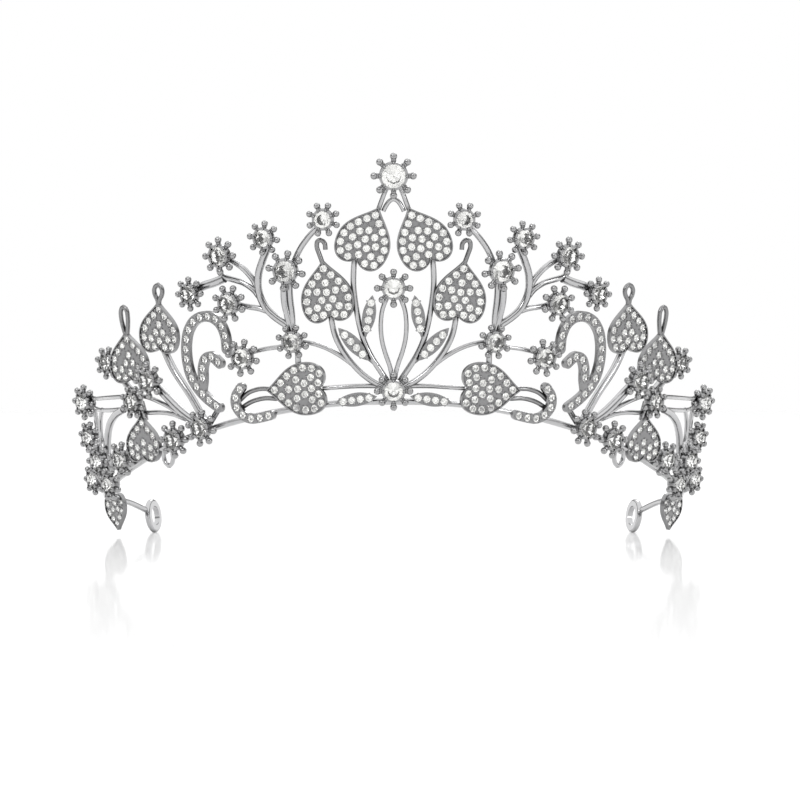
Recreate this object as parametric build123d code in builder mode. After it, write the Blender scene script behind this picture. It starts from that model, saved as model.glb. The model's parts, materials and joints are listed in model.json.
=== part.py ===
from build123d import *

import os
from math import cos, hypot, radians, sin, tan

# Bridal tiara: a silver-tone openwork wall of cast sprays, leaves and claw-set stones.
#
# The wall is part of a cone that stands round the Z axis of the head and leans outward
# towards the top. Every ornament is placed by its angle round the head, measured in
# degrees from the front (-Y) towards the wearer's left (+X), and by its height in
# millimetres. The half at +X is modelled and the other half is its mirror image.

# ---------------------------------------------------------------- driving dimensions (mm)
WALL_RADIUS = 71.0  # cone radius at the floor
WALL_FLARE = 0.12  # outward lean: radius gained per millimetre of height
SETBACK = 24.5  # cone axis behind the origin, so that the origin is under the middle

THIN_WIRE = 0.55  # radii of the round stems
STEM_WIRE = 0.7
STOUT_WIRE = 0.9
BROAD_WIRE = 1.05
TIE_WIRE = 0.45
BAND_WIRE = 0.75
RAIL_WIRE = 0.55
RAIL_POINTS = 13  # the rail stops short of the end loops
BAND_LIFT = -0.95  # the head band runs behind the stems
RAIL_LIFT = 0.2  # the rail in front of the band carries the castings
BAR_LIFT = -0.1
POST_LIFT = 0.1

PLATE = 1.1  # thickness of every stone-set plate
PLATE_LIFT = 0.4  # back of the plates, let into the stems in front
RIM = 0.28  # raised rim round a plate
RECESS = 0.25  # depth of the floor inside that rim
PAVE = 1.75  # small stones
PAVE_PITCH = 2.12
PAVE_MARGIN = 0.11  # metal between the rim and a stone's edge
SPOT_STEP = 0.1  # how finely free places for stones are looked for
RIM_STEPS = 60
TOUCH = 0.01
STRIP_SINK = 0.05  # depth of the stones below the face of a strip
STRIP_WIDTH = 2.5
ROW_PITCH = 2.02  # stones of a leaflet
CURL_WIDTH = 2.3
SEAT_GAP = 0.02  # clearance of a stone in its seat

# claw-set stones: stone diameter, radius of the ring of ball tips, ball diameter
CREST = (6.2, 4.5, 1.7)
LARGE = (5.5, 4.1, 1.7)
MEDIUM = (5.0, 3.75, 1.65)
SMALL = (4.6, 3.4, 1.55)
CLAWS = 8

CROWN = 0.17  # stone proportions, as shares of the diameter
GIRDLE = 0.04
PAVILION = 0.42
TABLE = 0.56
CULET = 0.04
CUP_DEPTH = 0.5
LIP_WALL = 0.3  # metal round a stone's edge
LIP_HEIGHT = 0.3  # how far the lip stands over the edge
CUP_LIFT = 0.35  # underside of a cup above the middle of the stems
BOWL_BELT = 0.22  # widest part of a bowl, as a share of its depth
ARM = 0.36  # radius of a claw's arm, as a share of its ball's diameter
ARM_ROOT = 0.5  # length of an arm inside the bowl

LOOP_OUTER = 8.6  # end loops for a ribbon, comb or hairpin
LOOP_EYE = 5.0
LOOP_THICK = 1.4
LOOP_ANGLE = 118.0
LOOP_FACING = 109.0
LOOP_ROUNDING = 0.56


# ---------------------------------------------------------------- the wall as a surface
def wall_point(angle, height, lift=0.0):
    """A point at this angle round the head and height, lifted along the wall's outward normal."""
    turn = radians(angle)
    slope = (1 + WALL_FLARE**2) ** 0.5
    reach = WALL_RADIUS + WALL_FLARE * height + lift / slope
    drop = lift * WALL_FLARE / slope
    return Vector(reach * sin(turn), SETBACK - reach * cos(turn), height - drop)


def wall_plane(angle, height, lean=0.0, lift=0.0, facing=None):
    """A plane on the wall there: Z outward, Y up the wall turned left by lean degrees.

    Ornaments at the sides may look further forward than the wall does: facing is then the
    angle round the head that they look towards.
    """
    turn = radians(angle if facing is None else facing)
    outward = Vector(sin(turn), -cos(turn), -WALL_FLARE).normalized()
    along = Vector(cos(turn), sin(turn), 0)
    upward = outward.cross(along)
    across = along * cos(radians(lean)) + upward * sin(radians(lean))
    return Plane(origin=wall_point(angle, height, lift), x_dir=across, z_dir=outward)


# ---------------------------------------------------------------- wires
def smooth_path(points):
    """Straight runs through the points, joined by the largest tangent arcs that fit."""
    bends = []
    for before, corner, after in zip(points, points[1:], points[2:]):
        first = corner - before
        second = after - corner
        half_turn = radians(first.get_angle(second)) / 2
        bends.append(0.45 * min(first.length, second.length) / tan(half_turn))
    with BuildLine() as path:
        FilletPolyline(*points, radius=bends)
    return path.line


def wire(points, radius):
    """A round wire along the points."""
    path = smooth_path([Vector(*point) for point in points])
    with BuildPart() as tube:
        with BuildSketch(Plane(origin=path @ 0, z_dir=path % 0)):
            Circle(radius)
        sweep(path=path)
    return tube.part


def wall_wire(route, radius=STEM_WIRE, lift=0.0):
    """A round wire that follows the wall through (angle, height) pairs."""
    return wire([wall_point(angle, height, lift) for angle, height in route], radius)


# ---------------------------------------------------------------- stones
def cut_stone(diameter, girdle):
    """A round stone with an octagonal table, crown, girdle and pavilion; girdle top at Z 0."""
    with BuildPart() as stone:
        if girdle > 0:
            with BuildSketch(Plane.XY.offset(-girdle)):
                RegularPolygon(diameter / 2, 8)
            extrude(amount=girdle)
        with BuildSketch(Plane.XY):
            RegularPolygon(diameter / 2, 8)
        with BuildSketch(Plane.XY.offset(CROWN * diameter)):
            RegularPolygon(TABLE * diameter / 2, 8)
        loft(ruled=True)
        with BuildSketch(Plane.XY.offset(-girdle)):
            RegularPolygon(diameter / 2, 8)
        with BuildSketch(Plane.XY.offset(-(GIRDLE + PAVILION) * diameter)):
            RegularPolygon(CULET * diameter, 8)
        loft(ruled=True)
    return stone.part


def stone_room(diameter):
    """The space that a stone with its clearance fills as it is turned about its axis."""
    radius = diameter / 2 + SEAT_GAP
    low = -(GIRDLE + PAVILION) * diameter - SEAT_GAP
    with BuildPart() as room:
        with BuildSketch(Plane.XZ):
            with BuildLine():
                Polyline(
                    (0, low),
                    (CULET * diameter + SEAT_GAP, low),
                    (radius, -GIRDLE * diameter),
                    (radius, SEAT_GAP),
                    (TABLE * radius, CROWN * diameter + SEAT_GAP),
                    (0, CROWN * diameter + SEAT_GAP),
                    close=True,
                )
            make_face()
        revolve(axis=Axis.Z)
    return room.part


# ---------------------------------------------------------------- claw settings
def flower(size):
    """A bowl with a lip over the stone's edge and eight arms that end in balls."""
    diameter, ring, ball = size
    depth = CUP_DEPTH * diameter
    bowl = diameter / 2 + LIP_WALL
    middle = -BOWL_BELT * depth
    foot = (bowl**2 - (depth + middle) ** 2) ** 0.5
    mouth = (bowl**2 - (LIP_HEIGHT - middle) ** 2) ** 0.5
    room = stone_room(diameter)
    with BuildPart() as setting:
        with BuildSketch(Plane.XZ):
            with BuildLine():
                Polyline((mouth, LIP_HEIGHT), (0, LIP_HEIGHT), (0, -depth), (foot, -depth))
                ThreePointArc((foot, -depth), (bowl, middle), (mouth, LIP_HEIGHT))
            make_face()
        revolve(axis=Axis.Z)
        with PolarLocations((bowl + ring - ARM_ROOT) / 2, CLAWS):
            with Locations((0, 0, middle)):
                Cylinder(ARM * ball, ring - bowl + ARM_ROOT, rotation=(0, 90, 0))
        with PolarLocations(ring, CLAWS):
            with Locations((0, 0, middle)):
                Sphere(ball / 2)
        add(room, mode=Mode.SUBTRACT)
    return setting.part


def flower_plane(place, size):
    """Where a flower's girdle lies on its stem; place is (angle, height, turn) and perhaps facing."""
    angle, height, turn, *facing = place
    return wall_plane(angle, height, turn, CUP_DEPTH * size[0] + CUP_LIFT, *facing)


# ---------------------------------------------------------------- stone-set plates
def heart_curves(length, width, inset=0.0):
    """Control points of half a heart's two curves, from its tip on the Y axis to its notch."""
    half = width / 2 - inset
    low = inset - 0.04 * length
    high = length - 1.7 * inset
    span = high - low
    tip = (0, high)
    widest = (half, low + 0.34 * span)
    notch = (0, low + 0.1 * span)
    upper = [tip, (0.3 * half, low + 0.8 * span), (half, low + 0.66 * span), widest]
    lower = [widest, (half, low - 0.06 * span), (0.25 * half, low - 0.06 * span), notch]
    return upper, lower


def heart_face(length, width, inset=0.0):
    """A heart with its notch near the origin and its tip up the Y axis, drawn in by inset."""
    upper, lower = heart_curves(length, width, inset)
    with BuildSketch() as heart:
        with BuildLine():
            Bezier(*upper)
            Bezier(*lower)
            mirror(about=Plane.YZ)
        make_face()
    return heart.sketch


def heart_spots(length, width):
    """A row of small stones along the rim, then one wherever it fits; the halves match."""
    leaf = heart_face(length, width).face()
    edge_room = RIM + PAVE_MARGIN + PAVE / 2
    rim = []
    candidates = []
    for points in heart_curves(length, width):
        curve = Edge.make_bezier(*points)
        for step in range(RIM_STEPS + 1):
            point = curve @ (step / RIM_STEPS)
            run = curve % (step / RIM_STEPS)
            rim.append((point.X, point.Y))
            candidates.append((point.X + run.Y * edge_room, point.Y - run.X * edge_room))
    for up in range(int(1.1 * length / SPOT_STEP)):
        for inward in range(int(width / 2 / SPOT_STEP)):
            candidates.append((width / 2 - inward * SPOT_STEP, up * SPOT_STEP - 0.1 * length))
    spots = []
    for across, high in candidates:
        if abs(across) < PAVE_PITCH / 4:
            across = 0
        if across < 0 or 0 < across < PAVE_PITCH / 2:
            continue
        if any(hypot(across - x, high - y) < edge_room - TOUCH for x, y in rim):
            continue
        if any(hypot(across - x, high - y) < PAVE_PITCH - TOUCH for x, y in spots):
            continue
        if not leaf.is_inside(Vector(across, high)):
            continue
        spots.append((across, high))
        if across > 0:
            spots.append((-across, high))
    return [Vector(x, y) for x, y in spots]


def heart_plate(length, width):
    """A rimmed heart plate; its back lies on Z 0."""
    outline = heart_face(length, width)
    floor = heart_face(length, width, RIM)
    with BuildPart() as plate:
        add(outline)
        extrude(amount=PLATE)
        with BuildSketch(Plane.XY.offset(PLATE - RECESS)):
            add(floor)
        extrude(amount=RECESS, mode=Mode.SUBTRACT)
    return plate.part


def strip_plate(route, width, stones, ends):
    """A flat strip along a route in its own plane, and the places of its stones."""
    path = smooth_path([Vector(x, y, 0) for x, y in route])
    first, last = ends
    spots = [path @ (first + (last - first) * step / (stones - 1)) for step in range(stones)]
    with BuildPart() as strip:
        with BuildSketch(Plane(origin=path @ 0, x_dir=(0, 0, 1), z_dir=path % 0)):
            with Locations((PLATE / 2, 0)):
                Rectangle(PLATE, width)
        sweep(path=path)
        for tip in (path @ 0, path @ 1):
            with Locations((tip.X, tip.Y, PLATE / 2)):
                Cylinder(width / 2, PLATE)
    return strip.part, spots


def marquise_plate(length, width, stones):
    """A pointed leaflet and the places of its row of stones; it runs up Y from the origin."""
    spots = [Vector(0, length / 2 + ROW_PITCH * (step - (stones - 1) / 2)) for step in range(stones)]
    with BuildPart() as leaflet:
        with BuildSketch():
            with BuildLine():
                ThreePointArc((0, 0), (width / 2, length / 2), (0, length))
                ThreePointArc((0, length), (-width / 2, length / 2), (0, 0))
            make_face()
        extrude(amount=PLATE)
    return leaflet.part, spots


def on_plane(plane, spots, height):
    """The planes of stones that sit at these spots of a plate laid on this plane."""
    sites = []
    for spot in spots:
        site = plane.from_local_coords(Vector(spot.X, spot.Y, height))
        sites.append(Plane(origin=site, x_dir=plane.x_dir, z_dir=plane.z_dir))
    return sites


def plate_plane(place):
    """Where the back of a plate lies; place is (angle, height, lean) and perhaps facing."""
    angle, height, lean, *facing = place
    return wall_plane(angle, height, lean, PLATE_LIFT, *facing)


pave_stone = cut_stone(PAVE, 0)
parts = []


def keep(part, label):
    """Name a finished piece and list it for export."""
    part.label = label
    parts.append(part)


def keep_pair(part, label):
    """Keep a piece of the right-hand half and its mirror image."""
    with BuildPart() as other:
        mirror(part, about=Plane.YZ)
    keep(part, label + "_r")
    keep(other.part, label + "_l")


def fused(pieces):
    """One cast piece from several that run into each other."""
    with BuildPart() as cast:
        add(pieces)
    return cast.part


def with_seats(body, planes):
    """The body with a seat for a small stone on every plane."""
    room = stone_room(PAVE)
    with BuildPart() as seated:
        add(body)
        with Locations(*planes):
            add(room, mode=Mode.SUBTRACT)
    return seated.part


def stones_at(planes, stone):
    """A loose copy of the stone on every plane."""
    with BuildPart() as stones:
        with Locations(*planes):
            add(stone)
    return stones.part


# ---------------------------------------------------------------- head band and end loops
half_band = [
    (6, 34.0),
    (14, 33.2),
    (22, 31.6),
    (30, 29.5),
    (38, 26.9),
    (46, 23.9),
    (54, 20.8),
    (62, 17.7),
    (70, 15.0),
    (78, 12.9),
    (86, 11.3),
    (94, 10.0),
    (102, 9.0),
    (109, 7.8),
    (LOOP_ANGLE - 3.2, 6.0),
]
band_route = [(-angle, height) for angle, height in reversed(half_band)] + half_band
band = wall_wire(band_route, BAND_WIRE, BAND_LIFT)
keep(band, "base_band")

half_rail = [(0.0, 34.4)] + half_band[:RAIL_POINTS]
rail_route = [(-angle, height) for angle, height in reversed(half_rail[1:])] + half_rail
rail = wall_wire(rail_route, RAIL_WIRE, RAIL_LIFT)
keep(rail, "front_rail")

loop_plane = wall_plane(LOOP_ANGLE, LOOP_OUTER / 2 + 0.05, 0, BAND_LIFT - LOOP_THICK / 2, LOOP_FACING)
with BuildPart() as end_loop:
    with BuildSketch(loop_plane):
        Circle(LOOP_OUTER / 2)
        Circle(LOOP_EYE / 2, mode=Mode.SUBTRACT)
    extrude(amount=LOOP_THICK)
    outer_edges = end_loop.edges().filter_by(GeomType.CIRCLE).group_by(SortBy.RADIUS)[-1]
    fillet(outer_edges, LOOP_ROUNDING)
keep_pair(end_loop.part, "end_loop")

bar_route = [(-12.6, 37.2), (-6.2, 37.8), (-0.1, 37.6), (6.0, 37.8), (12.6, 37.2)]
base_bar = wall_wire(bar_route, RAIL_WIRE, BAR_LIFT)
keep(base_bar, "base_bar")


# ---------------------------------------------------------------- centre column
crest_setting = flower(CREST)
large_flower = flower(LARGE)
medium_flower = flower(MEDIUM)
small_flower = flower(SMALL)
crest_jewel = cut_stone(CREST[0], GIRDLE * CREST[0])
large_stone = cut_stone(LARGE[0], GIRDLE * LARGE[0])
medium_stone = cut_stone(MEDIUM[0], GIRDLE * MEDIUM[0])
small_stone = cut_stone(SMALL[0], GIRDLE * SMALL[0])


def single_flower(height, size, setting, stone, label):
    """A flower and its stone on the centre line of the tiara."""
    plane = flower_plane((0, height, 0), size)
    with BuildPart() as cup:
        with Locations(plane):
            add(setting)
    keep(cup.part, label + "_flower")
    keep(stones_at([plane], stone), label + "_stone")


single_flower(86.2, CREST, crest_setting, crest_jewel, "crest")
single_flower(60.5, MEDIUM, medium_flower, medium_stone, "heart")
single_flower(36.8, MEDIUM, medium_flower, medium_stone, "base")

fork_outer = [(2.7, 77.6), (2.1, 79.9), (1.5, 82.1), (0.4, 85.2)]
fork_inner = [(1.7, 78.0), (1.2, 79.4), (0.6, 80.5), (-0.3, 80.9)]
fork_wires = []
for side in (1, -1):
    for route in (fork_outer, fork_inner):
        sided = [(side * angle, height) for angle, height in route]
        fork_wires.append(wall_wire(sided, THIN_WIRE, RAIL_LIFT))
keep(fused(fork_wires), "crest_fork")

oval_half = [
    (0.5, 59.6),
    (1.3, 57.6),
    (2.0, 55.2),
    (2.25, 52.0),
    (2.1, 48.6),
    (1.5, 45.4),
    (0.7, 42.6),
    (0.25, 39.9),
    (0.2, 37.4),
]
oval_wires = []
for side in (1, -1):
    oval_wires.append(wall_wire([(side * angle, height) for angle, height in oval_half], THIN_WIRE))
keep(fused(oval_wires), "centre_oval")


# ---------------------------------------------------------------- stems beside the centre
tall_stem = wall_wire(
    [
        (6.2, 69.5),
        (6.7, 65.5),
        (6.85, 61.0),
        (6.5, 56.5),
        (5.9, 51.8),
        (5.1, 47.8),
        (3.9, 44.4),
        (2.5, 41.6),
        (1.3, 39.2),
        (0.5, 37.4),
    ]
)
keep_pair(tall_stem, "tall_stem")

leaf_stem = [
    (10.8, 55.5),
    (10.65, 52.2),
    (10.1, 49.0),
    (9.0, 46.1),
    (7.5, 43.3),
    (5.7, 40.7),
    (3.9, 38.9),
    (2.0, 37.6),
]
flower_stem = [(4.9, 39.9), (6.9, 42.4), (9.2, 44.7), (11.6, 46.5), (14.0, 47.6), (17.4, 48.3)]
side_stem = fused([wall_wire(leaf_stem), wall_wire(flower_stem, THIN_WIRE)])
keep_pair(side_stem, "side_stem")


# ---------------------------------------------------------------- leaves
def heart_leaf(place, length, width, tip_wires, label):
    """A heart leaf with its tip wires, and the planes of its stones."""
    plane = plate_plane(place)
    spots = heart_spots(length, width)
    pieces = [heart_plate(length, width)]
    for route in tip_wires:
        pieces.append(wire([(x, y + length, PLATE / 2) for x, y in route], THIN_WIRE))
    seats = [Plane(origin=(spot.X, spot.Y, PLATE - RECESS)) for spot in spots]
    shape = with_seats(fused(pieces), seats)
    with BuildPart() as leaf:
        with Locations(plane):
            add(shape)
    keep_pair(leaf.part, label)
    return on_plane(plane, spots, PLATE - RECESS)


hook = [(0, -1.2), (0.5, 1.0), (1.0, 3.0), (0.7, 4.4), (-0.4, 4.6), (-1.1, 3.6), (-1.0, 2.2)]
round_loop = [(0.1, -1.2), (0.25, 0.4), (1.1, 1.5), (1.35, 2.7), (0.8, 3.7), (-0.2, 4.05)]
tall_loop = [(0.2, -1.2), (0.75, 0.8), (1.1, 2.8), (1.1, 4.6), (0.6, 5.6), (-0.2, 5.85)]


def both_sides(route):
    """A route and its mirror image, which together close a loop."""
    return [route, [(-x, y) for x, y in route]]


leaf_sites = []
leaf_sites += heart_leaf((6.4, 66.2, 24), 14.2, 12.8, [], "crown_leaf")
leaf_sites += heart_leaf((10.8, 53.2, -6), 14.0, 12.4, [hook], "upright_leaf")
leaf_sites += heart_leaf((12.2, 37.4, -92, 17.5), 14.2, 12.4, [], "low_leaf")
keep_pair(stones_at(leaf_sites, pave_stone), "leaf_stones")

side_leaf_sites = []
side_leaf_sites += heart_leaf((45.7, 46.2, 4, 38), 11.8, 12.0, both_sides(round_loop), "fore_leaf")
side_leaf_sites += heart_leaf((55.2, 39.2, -2, 40), 12.0, 12.4, both_sides(tall_loop), "rear_leaf")
side_leaf_sites += heart_leaf((53.2, 20.2, 0, 42), 10.8, 11.2, [], "lower_leaf")
side_leaf_sites += heart_leaf((103.0, 10.4, 176, 58), 9.0, 10.2, [], "end_leaf")
keep_pair(stones_at(side_leaf_sites, pave_stone), "side_leaf_stones")


# ---------------------------------------------------------------- leaflets
leaflet_list = [
    ((4.75, 49.4, 10), 9.6, 3.1, 4),
    ((4.2, 43.7, -43), 10.4, 3.2, 4),
    ((2.9, 35.4, -98), 9.8, 3.1, 4),
]
leaflet_parts = [
    wall_wire([(4.75, 50.4), (5.0, 49.2), (5.5, 48.2)], TIE_WIRE, POST_LIFT),
    wall_wire([(4.7, 44.6), (4.2, 43.9), (3.5, 43.2)], TIE_WIRE, POST_LIFT),
]
leaflet_sites = []
for place, length, width, count in leaflet_list:
    shape, spots = marquise_plate(length, width, count)
    plane = plate_plane(place)
    with BuildPart() as leaflet:
        with Locations(plane):
            add(shape)
    leaflet_parts.append(leaflet.part)
    leaflet_sites += on_plane(plane, spots, PLATE - STRIP_SINK)
keep_pair(with_seats(fused(leaflet_parts), leaflet_sites), "leaflets")


# ---------------------------------------------------------------- scroll and corner curl
def set_strips(strips, width, links, label):
    """A casting of stone-set strips and the wires that tie them in, and the planes of its stones."""
    pieces = list(links)
    sites = []
    for place, route, count, ends in strips:
        shape, spots = strip_plate(route, width, count, ends)
        plane = plate_plane(place)
        with BuildPart() as strip:
            with Locations(plane):
                add(shape)
        pieces.append(strip.part)
        sites += on_plane(plane, spots, PLATE - STRIP_SINK)
    keep_pair(with_seats(fused(pieces), sites), label)
    return sites


scroll_place = (34.8, 44.0, 0)
scroll_outer = [
    (-6.5, 2.6),
    (-6.5, 5.4),
    (-5.4, 8.4),
    (-3.0, 10.2),
    (0.0, 10.4),
    (2.8, 9.2),
    (4.7, 6.6),
    (5.5, 3.2),
    (5.5, -0.4),
    (4.7, -3.8),
    (2.8, -6.8),
    (0.2, -9.2),
    (-3.0, -11.2),
]
scroll_inner = [(1.8, -7.4), (1.1, -4.8), (1.0, -1.9), (0.1, 0.4), (-2.1, 1.0), (-4.2, -0.8)]
scroll_strips = [
    (scroll_place, scroll_outer, 17, (0.02, 0.98)),
    (scroll_place, scroll_inner, 5, (0.26, 0.95)),
]
scroll_foot = wall_wire([(32.6, 33.4), (34.2, 30.8), (36.0, 28.2)], STEM_WIRE, POST_LIFT)

curl_place = (26.0, 33.0, 0)
curl_route = [(2.2, 4.6), (3.9, 2.6), (4.0, 0.2), (2.4, -1.9), (0.0, -2.9), (-2.6, -2.5), (-5.2, -1.9)]
petals = [
    wall_wire([(22.0, 37.0), (24.4, 37.2), (26.8, 36.3), (28.6, 34.4)], THIN_WIRE),
    wall_wire([(21.2, 34.8), (23.6, 35.0), (26.2, 34.2), (28.4, 32.6)], THIN_WIRE),
]

trim_sites = leaflet_sites
trim_sites += set_strips(scroll_strips, STRIP_WIDTH, [scroll_foot], "scroll")
trim_sites += set_strips([(curl_place, curl_route, 7, (0.04, 0.96))], CURL_WIDTH, petals, "corner_curl")
keep_pair(stones_at(trim_sites, pave_stone), "trim_stones")


# ---------------------------------------------------------------- branch between leaf and scroll
main_stem = [
    (17.2, 47.4),
    (17.6, 49.6),
    (18.6, 51.8),
    (20.4, 53.3),
    (22.2, 55.3),
    (23.4, 58.0),
    (23.8, 61.0),
    (23.5, 64.2),
    (22.6, 67.0),
    (21.6, 69.8),
]
upper_fork = [(23.6, 59.6), (24.5, 62.4), (26.1, 64.9), (28.0, 66.7), (29.8, 67.8)]
lower_fork = [(23.5, 58.2), (24.6, 60.2), (26.4, 61.8), (28.6, 62.6), (30.5, 63.3), (31.4, 65.0), (30.6, 67.0)]
short_fork = [(21.8, 54.9), (23.6, 55.8), (25.8, 56.2), (28.0, 56.8)]
outer_leaf = [(30.2, 62.9), (32.4, 61.9), (34.6, 61.3), (36.4, 60.2)]
inner_stem = [(17.8, 50.4), (18.4, 53.6), (19.0, 57.4), (18.9, 61.0), (18.2, 64.0)]
crest_stem = [
    (17.7, 50.4),
    (17.6, 54.0),
    (17.9, 58.0),
    (17.9, 61.8),
    (17.3, 65.6),
    (15.9, 69.4),
    (14.2, 72.4),
    (12.2, 75.0),
]
cross_stem = [(17.2, 48.6), (19.6, 46.9), (22.6, 46.5), (25.8, 45.6)]
root_stem = [(17.3, 48.4), (16.9, 45.8), (16.9, 43.0)]
branch = fused(
    [
        wall_wire(main_stem, STOUT_WIRE),
        wall_wire(upper_fork),
        wall_wire(lower_fork),
        wall_wire(short_fork),
        wall_wire(outer_leaf, BROAD_WIRE),
        wall_wire(inner_stem, STOUT_WIRE),
        wall_wire(crest_stem),
        wall_wire(cross_stem, THIN_WIRE),
        wall_wire(root_stem),
    ]
)
keep_pair(branch, "branch")


def flower_group(groups, label):
    """Flowers of several sizes as one node and their stones as another."""
    settings = []
    stones = []
    for size, setting, stone, places in groups:
        planes = [flower_plane(place, size) for place in places]
        settings.append(stones_at(planes, setting))
        stones.append(stones_at(planes, stone))
    keep_pair(fused(settings), label + "_flowers")
    keep_pair(fused(stones), label + "_stones")


branch_large = [(17.9, 64.6, 10)]
branch_medium = [(29.9, 68.3, 0), (26.6, 44.6, 12), (28.6, 57.2, 22)]
branch_small = [(11.4, 76.3, 22), (21.6, 72.2, 8), (36.6, 59.6, 0), (17.3, 48.2, 18)]
flower_group(
    [
        (LARGE, large_flower, large_stone, branch_large),
        (MEDIUM, medium_flower, medium_stone, branch_medium),
        (SMALL, small_flower, small_stone, branch_small),
    ],
    "branch",
)


# ---------------------------------------------------------------- side sprays
fore_stem = [(45.6, 47.5), (44.4, 44.2), (43.0, 41.2), (41.2, 38.3), (39.5, 35.5), (38.0, 32.4), (36.6, 29.6)]
rear_stem = [(50.9, 40.6), (49.4, 39.0), (47.2, 36.8), (44.7, 34.2), (42.0, 31.6), (39.4, 29.7), (36.8, 28.6)]
upper_tie = [(55.0, 35.6), (51.6, 35.3), (48.2, 34.2), (45.2, 32.8), (42.8, 31.3)]
lower_tie = [(55.2, 31.8), (51.6, 31.4), (48.0, 31.6), (44.4, 31.2), (41.2, 29.9)]
upper_reach = [(88.4, 35.2), (81.0, 34.9), (73.4, 34.9), (66.0, 35.1), (59.8, 35.3), (54.4, 35.0)]
lower_reach = [(88.2, 33.2), (81.0, 32.4), (73.4, 32.0), (66.0, 32.0), (59.8, 32.4), (54.4, 33.4)]
back_stem = [(61.4, 43.6), (60.0, 40.6), (57.6, 37.8), (54.2, 35.2)]
outer_drop = [(60.6, 32.2), (64.6, 31.0), (68.2, 28.8), (70.6, 26.0), (72.0, 22.8), (72.8, 18.8), (72.4, 14.6)]
inner_drop = [(72.6, 32.2), (75.4, 29.8), (76.8, 26.6), (76.4, 23.2), (74.6, 20.2)]
leaf_drop = [(53.8, 34.0), (53.2, 31.6), (53.0, 29.6)]
end_drop = [(87.8, 34.4), (88.8, 29.8), (89.0, 25.4), (88.4, 20.2), (87.6, 15.0), (87.4, 11.3)]
loop_right_side = [(46.8, 25.0), (47.9, 22.6), (48.2, 20.6), (47.6, 19.2), (46.5, 18.8)]
loop_left_side = [(46.8, 25.0), (45.7, 22.6), (45.4, 20.6), (46.0, 19.2), (47.1, 18.8)]
side_spray = fused(
    [
        wall_wire(fore_stem, STOUT_WIRE),
        wall_wire(rear_stem, BROAD_WIRE),
        wall_wire(upper_tie, THIN_WIRE),
        wall_wire(lower_tie, THIN_WIRE),
        wall_wire(upper_reach, THIN_WIRE),
        wall_wire(lower_reach, THIN_WIRE),
        wall_wire(back_stem, BROAD_WIRE),
        wall_wire(outer_drop, STOUT_WIRE),
        wall_wire(inner_drop, THIN_WIRE),
        wall_wire(leaf_drop, STOUT_WIRE),
        wall_wire(end_drop, THIN_WIRE),
        wall_wire(loop_right_side, THIN_WIRE),
        wall_wire(loop_left_side, THIN_WIRE),
    ]
)
keep_pair(side_spray, "side_spray")

side_medium = [
    (36.2, 28.2, 10),
    (42.9, 25.4, 0, 38),
    (48.4, 39.4, 0, 38),
    (87.6, 34.2, 6, 50),
    (60.2, 20.4, 12, 44),
    (73.0, 19.8, 0, 50),
]
side_small = [
    (61.6, 43.7, 15, 42),
    (53.9, 34.2, 22, 42),
    (89.0, 25.4, 15, 50),
    (87.6, 15.0, 0, 52),
    (67.4, 14.2, 22, 48),
]
flower_group(
    [
        (MEDIUM, medium_flower, medium_stone, side_medium),
        (SMALL, small_flower, small_stone, side_small),
    ],
    "side",
)


# ---------------------------------------------------------------- export
os.makedirs("parts", exist_ok=True)
for piece in parts:
    export_step(piece, f"parts/{piece.label}.step")
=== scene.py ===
"""The looks of the bridal tiara: plated metal, brilliant-cut stones, claws and setting grains."""
import json
import math

import bpy
import numpy as np
from mathutils import Matrix, Vector


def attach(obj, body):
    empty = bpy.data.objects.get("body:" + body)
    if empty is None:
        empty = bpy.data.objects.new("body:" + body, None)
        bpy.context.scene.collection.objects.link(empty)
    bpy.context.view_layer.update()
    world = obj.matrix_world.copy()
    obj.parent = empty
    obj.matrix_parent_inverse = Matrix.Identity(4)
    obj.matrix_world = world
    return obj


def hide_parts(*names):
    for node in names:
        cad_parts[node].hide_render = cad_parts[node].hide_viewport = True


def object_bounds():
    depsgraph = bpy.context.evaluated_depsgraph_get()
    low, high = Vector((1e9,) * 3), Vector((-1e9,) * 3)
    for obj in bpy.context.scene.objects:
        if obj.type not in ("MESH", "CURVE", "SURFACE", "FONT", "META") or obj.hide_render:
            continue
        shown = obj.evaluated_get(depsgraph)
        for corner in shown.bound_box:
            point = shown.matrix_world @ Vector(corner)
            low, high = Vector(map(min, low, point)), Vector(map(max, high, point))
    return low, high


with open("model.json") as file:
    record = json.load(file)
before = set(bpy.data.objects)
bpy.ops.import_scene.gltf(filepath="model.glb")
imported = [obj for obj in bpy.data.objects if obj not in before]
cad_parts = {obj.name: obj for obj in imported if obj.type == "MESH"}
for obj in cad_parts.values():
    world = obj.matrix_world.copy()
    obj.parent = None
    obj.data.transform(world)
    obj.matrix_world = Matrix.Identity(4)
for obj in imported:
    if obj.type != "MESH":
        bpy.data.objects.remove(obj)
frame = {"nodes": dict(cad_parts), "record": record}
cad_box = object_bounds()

MM = 0.001

# ---------------------------------------------------------------- camera
# Level with the lower third of the wall, in front of it, with a long lens.
CAMERA_HEIGHT = 34.5 * MM
CAMERA_DISTANCE = 950.5 * MM
SENSOR_WIDTH = 36
LENS = 174.8
SHIFT_X = 0.008
NEAREST, FURTHEST = 0.05, 50

camera_data = bpy.data.cameras.new("camera")
camera_data.sensor_width = SENSOR_WIDTH
camera_data.lens = LENS
camera_data.shift_x = SHIFT_X
camera_data.clip_start = NEAREST
camera_data.clip_end = FURTHEST
camera = bpy.data.objects.new("camera", camera_data)
camera.location = (0, -CAMERA_DISTANCE, CAMERA_HEIGHT)
camera.rotation_euler = (math.pi / 2, 0, 0)
bpy.context.scene.collection.objects.link(camera)
bpy.context.scene.camera = camera

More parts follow.
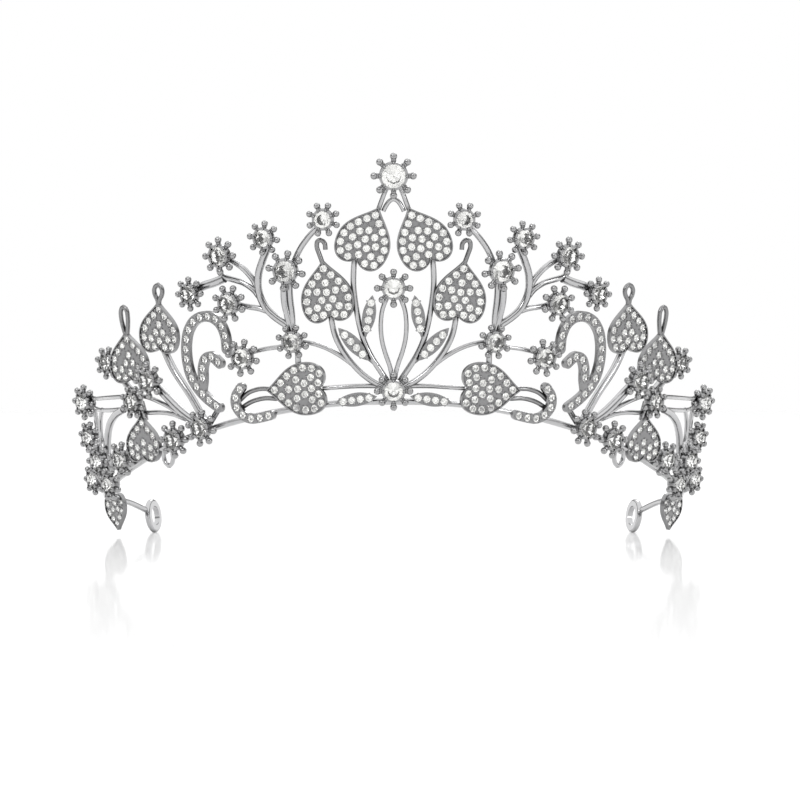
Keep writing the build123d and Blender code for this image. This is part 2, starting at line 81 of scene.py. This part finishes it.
# ---------------------------------------------------------------- materials
CLOUD_SCALE, CLOUD_DETAIL = 260, 4          # patches of duller and brighter plating, about 4 mm
RIPPLE_SCALE, RIPPLE_DETAIL = 900, 2        # casting ripples, about 1 mm
RIPPLE_DEPTH = 0.1 * MM
DULL_TONE = 0.86                            # the duller patches, as a share of the colour
# Painted shade in the plating's crevices: ambient occlusion mixes this near-black into the
# colour.
CREVICE_REACH = 0.9 * MM
CREVICE_SAMPLES = 6
CREVICE_FROM, CREVICE_TO = 0.45, 0.98       # openness at which the painted shade is full, and gone
PAINTED_SHADE_COLOUR = (0.02, 0.02, 0.022, 1)

SILVER = (0.5, 0.5, 0.506)
LEAF_GREY = (0.27, 0.27, 0.273)
SCROLL_GREY = (0.29, 0.29, 0.293)
CLAW_GREY = (0.38, 0.38, 0.383)
GRAIN_GREY = (0.4, 0.4, 0.404)

CRYSTAL = (0.99, 0.99, 0.985, 1)
CRYSTAL_IOR = 1.5
FOIL_DARK = (0.75, 0.75, 0.745, 1)
FOIL_BRIGHT = (1, 1, 0.99, 1)
FOIL_BRIGHT_FROM = 0.4                      # facets with a higher tone are all fully bright


def principled(name, **values):
    """A Principled material with the given socket values."""
    material = bpy.data.materials.new(name)
    material.use_nodes = True
    shader = material.node_tree.nodes["Principled BSDF"]
    for socket, value in values.items():
        shader.inputs[socket.replace("_", " ")].default_value = value
    return material, shader


def add_node(tree, kind, **values):
    """A new shader node with the given socket values."""
    node = tree.nodes.new("ShaderNode" + kind)
    for socket, value in values.items():
        node.inputs[socket.replace("_", " ")].default_value = value
    return node


def plated(name, colour, roughness, spread, dimple, shade=0.0):
    """Polished plating with drifting roughness, faint casting ripples and painted shade darkening
    its crevices.
    """
    material, shader = principled(name, Metallic=1.0)
    tree = material.node_tree
    link = tree.links.new
    place = add_node(tree, "TexCoord")

    cloud = add_node(tree, "TexNoise", Scale=CLOUD_SCALE, Detail=CLOUD_DETAIL)
    link(place.outputs["Object"], cloud.inputs["Vector"])
    polish = add_node(tree, "MapRange", To_Min=roughness - spread, To_Max=roughness + spread)
    link(cloud.outputs["Fac"], polish.inputs["Value"])
    link(polish.outputs["Result"], shader.inputs["Roughness"])
    dull = (*[c * DULL_TONE for c in colour], 1)
    tone = add_node(tree, "MixRGB", Color1=dull, Color2=(*colour, 1))
    link(cloud.outputs["Fac"], tone.inputs["Fac"])

    # Painted shade: where ambient occlusion finds the plating hemmed in, in crevices and between
    # stones, the colour is mixed towards near-black.
    crevice = add_node(tree, "AmbientOcclusion", Distance=CREVICE_REACH)
    crevice.samples = CREVICE_SAMPLES
    painted_shade_amount = add_node(tree, "MapRange", From_Min=CREVICE_FROM, From_Max=CREVICE_TO,
                     To_Min=shade, To_Max=0)
    link(crevice.outputs["AO"], painted_shade_amount.inputs["Value"])
    painted_shade_mix = add_node(tree, "MixRGB", Color2=PAINTED_SHADE_COLOUR)
    link(painted_shade_amount.outputs["Result"], painted_shade_mix.inputs["Fac"])
    link(tone.outputs["Color"], painted_shade_mix.inputs["Color1"])
    link(painted_shade_mix.outputs["Color"], shader.inputs["Base Color"])

    ripple = add_node(tree, "TexNoise", Scale=RIPPLE_SCALE, Detail=RIPPLE_DETAIL)
    link(place.outputs["Object"], ripple.inputs["Vector"])
    bump = add_node(tree, "Bump", Strength=dimple, Distance=RIPPLE_DEPTH)
    link(ripple.outputs["Fac"], bump.inputs["Height"])
    link(bump.outputs["Normal"], shader.inputs["Normal"])
    return material


def foil_material():
    """The foil behind a stone: a mirror whose facets differ a little in brightness."""
    material, shader = principled("crystal_foil", Metallic=0.82, Roughness=0.04)
    tree = material.node_tree
    facet = add_node(tree, "Attribute")
    facet.attribute_name = "facet_tone"
    ramp = add_node(tree, "ValToRGB")
    dark, bright = ramp.color_ramp.elements
    dark.color = FOIL_DARK
    bright.color = FOIL_BRIGHT
    bright.position = FOIL_BRIGHT_FROM
    tree.links.new(facet.outputs["Fac"], ramp.inputs["Fac"])
    tree.links.new(ramp.outputs["Color"], shader.inputs["Base Color"])
    return material


metals = {
    "band_metal": plated("band_plating", SILVER, roughness=0.17, spread=0.05, dimple=0.25),
    "stem_metal": plated("stem_plating", SILVER, roughness=0.17, spread=0.06, dimple=0.35,
                         shade=0.6),
    "leaf_metal": plated("leaf_plating", LEAF_GREY, roughness=0.26, spread=0.08, dimple=0.6,
                         shade=1.0),
    "scroll_metal": plated("scroll_plating", SCROLL_GREY, roughness=0.2, spread=0.07, dimple=0.5,
                           shade=1.0),
    "setting_metal": plated("claw_plating", CLAW_GREY, roughness=0.15, spread=0.05, dimple=0.35,
                            shade=0.95),
}
grain_metal = plated("grain_plating", GRAIN_GREY, roughness=0.15, spread=0.05, dimple=0.2)
glass, _ = principled("crystal_crown", Base_Color=CRYSTAL, Roughness=0.0, IOR=CRYSTAL_IOR,
                      Transmission_Weight=1.0)
foil = foil_material()

# ---------------------------------------------------------------- where the stones sit
WELD = 2e-6                                 # corners nearer than this are one corner
SAME_WAY = 0.999                            # cosine above which two facets are one flat
GIRDLE_SHARE = 0.93                         # corners beyond this share of the reach are girdle
CENTRING_ROUNDS = 3
SMALLEST_AREA = 1e-15

# The cut, as shares of a stone's diameter.
CROWN = 0.17
GIRDLE = 0.04
PAVILION = 0.42
TABLE = 0.56
STAR_RADIUS = 0.385
GIRDLE_RADIUS = 0.497
MAIN_RADIUS = 0.27
# The star corners' share of the crown, and the main facets' corners' share of the pavilion.
STAR_HEIGHT = 0.56
MAIN_DEPTH = 0.47


def islands(node):
    """The separate solids of a CAD node, each as (corners, triangles)."""
    mesh = frame["nodes"][node].data
    places = np.array([vertex.co for vertex in mesh.vertices])
    keys = {}
    merged = np.array([keys.setdefault(tuple(np.round(p / WELD)), len(keys)) for p in places])
    mesh.calc_loop_triangles()
    triangles = merged[np.array([t.vertices for t in mesh.loop_triangles])]
    corners = np.zeros((len(keys), 3))
    corners[merged] = places
    owner = list(range(len(keys)))

    def root(item):
        while owner[item] != item:
            owner[item] = owner[owner[item]]
            item = owner[item]
        return item

    for a, b, c in triangles:
        owner[root(a)] = root(b)
        owner[root(b)] = root(c)
    groups = {}
    for triangle in triangles:
        groups.setdefault(root(triangle[0]), []).append(triangle)
    return [(corners, np.array(group)) for group in groups.values()]


def seat_of(corners, triangles):
    """A stone's girdle centre, outward axis, direction of one girdle corner, and diameter."""
    a, b, c = (corners[triangles[:, i]] for i in range(3))
    cross = np.cross(b - a, c - a)
    area = np.linalg.norm(cross, axis=1)
    normals = cross / np.maximum(area, SMALLEST_AREA)[:, None]
    # The table is the largest flat of a stone, and its normal is the stone's axis.
    flats = [area[(normals @ normal) > SAME_WAY].sum() for normal in normals]
    axis = normals[int(np.argmax(flats))]
    used = corners[np.unique(triangles)]
    top = (used @ axis).max()
    middle = used.mean(axis=0)
    for _ in range(CENTRING_ROUNDS):
        arms = used - middle
        flat = arms - np.outer(arms @ axis, axis)
        reach = np.linalg.norm(flat, axis=1)
        edge = used[reach > GIRDLE_SHARE * reach.max()]
        centre = edge.mean(axis=0)
        middle = middle + (centre - middle) - axis * ((centre - middle) @ axis)
    spoke = flat[int(np.argmax(reach))]
    diameter = 2 * reach.max()
    girdle = middle + axis * (top - middle @ axis - CROWN * diameter)
    return Vector(girdle), Vector(axis), Vector(spoke).normalized(), diameter


# ---------------------------------------------------------------- shapes
def ring(count, radius, height, turn):
    """Points round the axis, with turn in steps of the ring."""
    step = 2 * math.pi / count
    angles = [step * (i + turn) for i in range(count)]
    return [(radius * math.cos(angle), radius * math.sin(angle), height) for angle in angles]


def brilliant():
    """A round brilliant of unit diameter: points, and faces with whether each is foil."""
    table = ring(8, TABLE / 2, CROWN, 0)
    stars = ring(8, STAR_RADIUS, CROWN * STAR_HEIGHT, 0.5)
    edge = ring(16, GIRDLE_RADIUS, 0, 0)
    belt = ring(16, GIRDLE_RADIUS, -GIRDLE, 0)
    mains = ring(8, MAIN_RADIUS, -GIRDLE - PAVILION * MAIN_DEPTH, 0.5)
    culet = [(0, 0, -GIRDLE - PAVILION)]
    points = table + stars + edge + belt + mains + culet
    # The first index of each ring in the list of points.
    t, s, e, b, m, tip = 0, 8, 16, 32, 48, 56
    faces = [(list(range(8)), False)]
    for i in range(8):
        after = (i + 1) % 8
        before = (i - 1) % 8
        odd = 2 * i + 1
        even = (2 * i + 2) % 16
        faces.append(([t + i, s + i, t + after], False))
        faces.append(([t + i, s + before, e + 2 * i, s + i], False))
        faces.append(([s + i, e + 2 * i, e + odd], False))
        faces.append(([s + i, e + odd, e + even], False))
        faces.append(([m + i, b + odd, b + 2 * i], True))
        faces.append(([m + i, b + even, b + odd], True))
        faces.append(([tip, m + i, b + 2 * i, m + before], True))
    for i in range(16):
        after = (i + 1) % 16
        faces.append(([e + i, b + i, b + after, e + after], False))
    return points, faces


BALL_RINGS, BALL_SIDES = 5, 8


def ball():
    """A unit ball as points and faces."""
    points = [(0, 0, 1)]
    for i in range(1, BALL_RINGS):
        tilt = math.pi * i / BALL_RINGS
        points += ring(BALL_SIDES, math.sin(tilt), math.cos(tilt), 0)
    points.append((0, 0, -1))
    last = len(points) - 1
    faces = []
    for k in range(BALL_SIDES):
        n = (k + 1) % BALL_SIDES
        faces.append([0, 1 + k, 1 + n])
        faces.append([last, last - BALL_SIDES + n, last - BALL_SIDES + k])
        for i in range(BALL_RINGS - 2):
            low = 1 + i * BALL_SIDES
            faces.append([low + k, low + BALL_SIDES + k, low + BALL_SIDES + n, low + n])
    return points, faces


# A claw's middle line in its own size: X outward from the girdle, Z up the axis, half width.
CLAW_SPINE = (
    (0.55, -1.2, 0.62),
    (0.5, -0.2, 0.6),
    (0.25, 0.75, 0.55),
    (-0.35, 1.35, 0.5),
    (-0.95, 1.5, 0.34),
)
CLAW_TIP = (-1.2, 0, 1.5)
CLAW_SIDES = 8


def claw():
    """A claw of unit size that rises beside the girdle at X 0 and bends in over the crown."""
    points, faces = [], []
    for index, (x, z, width) in enumerate(CLAW_SPINE):
        ahead = CLAW_SPINE[min(index + 1, len(CLAW_SPINE) - 1)]
        behind = CLAW_SPINE[max(index - 1, 0)]
        run = Vector((ahead[0] - behind[0], 0, ahead[1] - behind[1])).normalized()
        side = Vector((run.z, 0, -run.x))
        for k in range(CLAW_SIDES):
            angle = 2 * math.pi * k / CLAW_SIDES
            across = Vector((0, width * math.sin(angle), 0))
            spot = Vector((x, 0, z)) + side * (width * math.cos(angle)) + across
            points.append(tuple(spot))
    for index in range(len(CLAW_SPINE) - 1):
        for k in range(CLAW_SIDES):
            n = (k + 1) % CLAW_SIDES
            low = index * CLAW_SIDES
            faces.append([low + k, low + n, low + CLAW_SIDES + n, low + CLAW_SIDES + k])
    faces.append(list(range(CLAW_SIDES))[::-1])
    points.append(CLAW_TIP)
    tip = len(points) - 1
    low = (len(CLAW_SPINE) - 1) * CLAW_SIDES
    for k in range(CLAW_SIDES):
        faces.append([low + k, low + (k + 1) % CLAW_SIDES, tip])
    return points, faces


CUT = brilliant()
BALL = ball()
CLAW = claw()
CLAW_SIZE = 0.42 * MM
CLAWS = 8
GRAIN = 0.22 * MM                           # radius of a grain
GRAINS = 6
GRAIN_GAP = 0.15 * MM                       # from a small stone's edge to a grain's middle
GRAIN_LIFT = 0.05 * MM
GRAIN_SPACING = 0.6 * MM                    # grains nearer than this are one shared grain
FACET_SEED = 7


# ---------------------------------------------------------------- pieces
def basis(axis, spoke):
    """Rotation that takes Z to the axis and X to the spoke."""
    across = axis.cross(spoke).normalized()
    along = across.cross(axis)
    return Matrix((along, across, axis)).transposed()


def grown(name, points, faces, materials, smooth):
    """A mesh object from points and faces with its materials."""
    mesh = bpy.data.meshes.new(name)
    mesh.from_pydata(points, [], faces)
    mesh.update()
    for material in materials:
        mesh.materials.append(material)
    mesh.polygons.foreach_set("use_smooth", [smooth] * len(faces))
    piece = bpy.data.objects.new(name, mesh)
    bpy.context.scene.collection.objects.link(piece)
    return piece


def stones_for(node, seats):
    """Brilliant-cut stones in the places of a CAD stone node."""
    shape, cuts = CUT
    points, faces, slots, tones = [], [], [], []
    dice = np.random.default_rng(FACET_SEED + len(node))
    for centre, axis, spoke, diameter in seats:
        turn = basis(axis, spoke)
        start = len(points)
        for point in shape:
            points.append(centre + turn @ (Vector(point) * diameter))
        for face, is_foil in cuts:
            faces.append([start + corner for corner in face])
            slots.append(1 if is_foil else 0)
            tones.append(dice.random())
    piece = grown("cut_" + node, points, faces, [glass, foil], False)
    piece.data.polygons.foreach_set("material_index", slots)
    tone = piece.data.attributes.new("facet_tone", "FLOAT", "FACE")
    tone.data.foreach_set("value", tones)
    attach(piece, "root")
    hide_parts(node)


def claws_for(node, seats):
    """Claws round each large stone, in line with the arms of its setting."""
    shape, shape_faces = CLAW
    points, faces = [], []
    for centre, axis, spoke, diameter in seats:
        for index in range(CLAWS):
            turn = basis(axis, Matrix.Rotation(2 * math.pi / CLAWS * index, 3, axis) @ spoke)
            out = turn @ Vector((diameter / 2, 0, 0))
            start = len(points)
            points += [centre + out + turn @ (Vector(p) * CLAW_SIZE) for p in shape]
            faces += [[start + corner for corner in face] for face in shape_faces]
    piece = grown("claws_" + node, points, faces, [metals["setting_metal"]], True)
    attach(piece, "root")


def grains_for(node, seats):
    """Small grains of metal raised round each pave stone, shared between neighbours."""
    spots = []
    for centre, axis, spoke, diameter in seats:
        for index in range(GRAINS):
            angle = 2 * math.pi / GRAINS * (index + 0.5)
            arm = Matrix.Rotation(angle, 3, axis) @ spoke
            spot = centre + arm * (diameter / 2 + GRAIN_GAP) + axis * GRAIN_LIFT
            if all((spot - other).length > GRAIN_SPACING for other in spots):
                spots.append(spot)
    shape, shape_faces = BALL
    points, faces = [], []
    for spot in spots:
        start = len(points)
        points += [spot + Vector(p) * GRAIN for p in shape]
        faces += [[start + corner for corner in face] for face in shape_faces]
    piece = grown("grains_" + node, points, faces, [grain_metal], True)
    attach(piece, "root")


slot_of = {part["node"]: part["material_slot"] for part in frame["record"]["subparts"]}
for node, cad_piece in frame["nodes"].items():
    slot = slot_of[node]
    if slot in metals:
        cad_piece.data.materials.clear()
        cad_piece.data.materials.append(metals[slot])
        continue
    seats = [seat_of(corners, triangles) for corners, triangles in islands(node)]
    stones_for(node, seats)
    if slot == "pave_stone":
        grains_for(node, seats)
    else:
        claws_for(node, seats)

# ---------------------------------------------------------------- floor
FLOOR_HALF = 12.0
FLOOR_WHITE = (0.93, 0.93, 0.93, 1)
FLOOR_POLISH = 0.06
FLOOR_IOR = 1.018                           # low, so that the floor mirrors only at a slant

floor_mesh = bpy.data.meshes.new("floor")
floor_signs = ((-1, -1), (1, -1), (1, 1), (-1, 1))
floor_corners = [(x * FLOOR_HALF, y * FLOOR_HALF, 0) for x, y in floor_signs]
floor_mesh.from_pydata(floor_corners, [], [(0, 1, 2, 3)])
floor = bpy.data.objects.new("floor", floor_mesh)
bpy.context.scene.collection.objects.link(floor)
floor.location.z = cad_box[0][2]
floor_material = bpy.data.materials.new("pale_floor")
floor_material.use_nodes = True
floor_tree = floor_material.node_tree
floor_tree.nodes.clear()
matt = add_node(floor_tree, "BsdfDiffuse", Color=FLOOR_WHITE)
gloss = add_node(floor_tree, "BsdfGlossy", Roughness=FLOOR_POLISH)
grazing = add_node(floor_tree, "Fresnel", IOR=FLOOR_IOR)
mixed = add_node(floor_tree, "MixShader")
output = add_node(floor_tree, "OutputMaterial")
floor_tree.links.new(grazing.outputs[0], mixed.inputs["Fac"])
floor_tree.links.new(matt.outputs[0], mixed.inputs[1])
floor_tree.links.new(gloss.outputs[0], mixed.inputs[2])
floor_tree.links.new(mixed.outputs[0], output.inputs["Surface"])
floor_mesh.materials.append(floor_material)

# ---------------------------------------------------------------- light
WHITE = (1, 1, 1, 1)
# Brightness of the room by the sine of the elevation: a dark ring from about 14 to 24 degrees.
DOME_STOPS = ((0.17, 0.95), (0.25, 0.2), (0.4, 0.2), (0.48, 1.0))
CARDS = 8                                   # even, so that no card stands straight behind
CARD_TONE = (0.45, 0.45, 0.45, 1)
CARD_DARK, CARD_CLEAR = 0.3, 0.5            # the wave's share that is card, and that is room
CARD_FADE, CARD_TOP = 0.5, 0.62             # sine of the elevation where cards fade and end
STUDIO_STRENGTH = 1.4
AIM = Vector((0, 0, 0.04))


def studio_world():
    """A white room with a dark ring and dark upright cards, which draw the metal's edges.

    The camera sees a plain white backdrop instead of the room.
    """
    world = bpy.data.worlds.new("studio")
    bpy.context.scene.world = world
    world.use_nodes = True
    tree = world.node_tree
    link = tree.links.new
    tree.nodes.clear()

    def maths(operation, *values):
        """A Math node; each input is a socket or a number."""
        node = add_node(tree, "Math")
        node.operation = operation
        for index, value in enumerate(values):
            if isinstance(value, (int, float)):
                node.inputs[index].default_value = value
            else:
                link(value, node.inputs[index])
        return node.outputs[0]

    direction = add_node(tree, "TexCoord")
    split = add_node(tree, "SeparateXYZ")
    link(direction.outputs["Generated"], split.inputs["Vector"])

    dome = add_node(tree, "ValToRGB")
    stops = dome.color_ramp.elements
    stops[0].position, stops[0].color = 0.0, WHITE
    stops[1].position, stops[1].color = 1.0, WHITE
    for position, tone in DOME_STOPS:
        stop = stops.new(position)
        stop.color = (tone, tone, tone, 1)
    link(split.outputs["Z"], dome.inputs["Fac"])

    heading = maths("ARCTAN2", split.outputs["Y"], split.outputs["X"])
    wave = maths("COSINE", maths("MULTIPLY", maths("ADD", heading, math.pi / 2), CARDS))
    card = add_node(tree, "ValToRGB")
    dark, clear = card.color_ramp.elements
    dark.color = CARD_TONE
    clear.color = WHITE
    dark.position = CARD_DARK
    clear.position = CARD_CLEAR
    link(maths("MULTIPLY_ADD", wave, 0.5, 0.5), card.inputs["Fac"])
    fade = add_node(tree, "MapRange", From_Min=CARD_FADE, From_Max=CARD_TOP)
    link(split.outputs["Z"], fade.inputs["Value"])
    cards = add_node(tree, "MixRGB", Color2=WHITE)
    link(fade.outputs["Result"], cards.inputs["Fac"])
    link(card.outputs["Color"], cards.inputs["Color1"])

    room = add_node(tree, "MixRGB", Fac=1)
    room.blend_type = "MULTIPLY"
    link(dome.outputs["Color"], room.inputs["Color1"])
    link(cards.outputs["Color"], room.inputs["Color2"])
    studio = add_node(tree, "Background", Strength=STUDIO_STRENGTH)
    link(room.outputs["Color"], studio.inputs["Color"])
    backdrop = add_node(tree, "Background", Color=WHITE)
    seen = add_node(tree, "LightPath")
    choose = add_node(tree, "MixShader")
    surface = add_node(tree, "OutputWorld")
    link(seen.outputs["Is Camera Ray"], choose.inputs["Fac"])
    link(studio.outputs[0], choose.inputs[1])
    link(backdrop.outputs[0], choose.inputs[2])
    link(choose.outputs[0], surface.inputs["Surface"])


def softbox(name, place, size, power):
    """A square soft light that looks at the middle of the tiara."""
    data = bpy.data.lights.new(name, "AREA")
    data.shape = "SQUARE"
    data.size = size
    data.energy = power
    light = bpy.data.objects.new(name, data)
    light.location = place
    light.rotation_euler = (AIM - Vector(place)).to_track_quat("-Z", "Y").to_euler()
    bpy.context.scene.collection.objects.link(light)


studio_world()
softbox("key", place=(-0.55, -0.85, 0.75), size=0.2, power=1.7)
softbox("fill", place=(0.75, -0.7, 0.35), size=0.17, power=1.0)
softbox("rim", place=(0.2, 0.8, 0.7), size=0.22, power=1.3)

bpy.context.scene.view_settings.view_transform = "Standard"
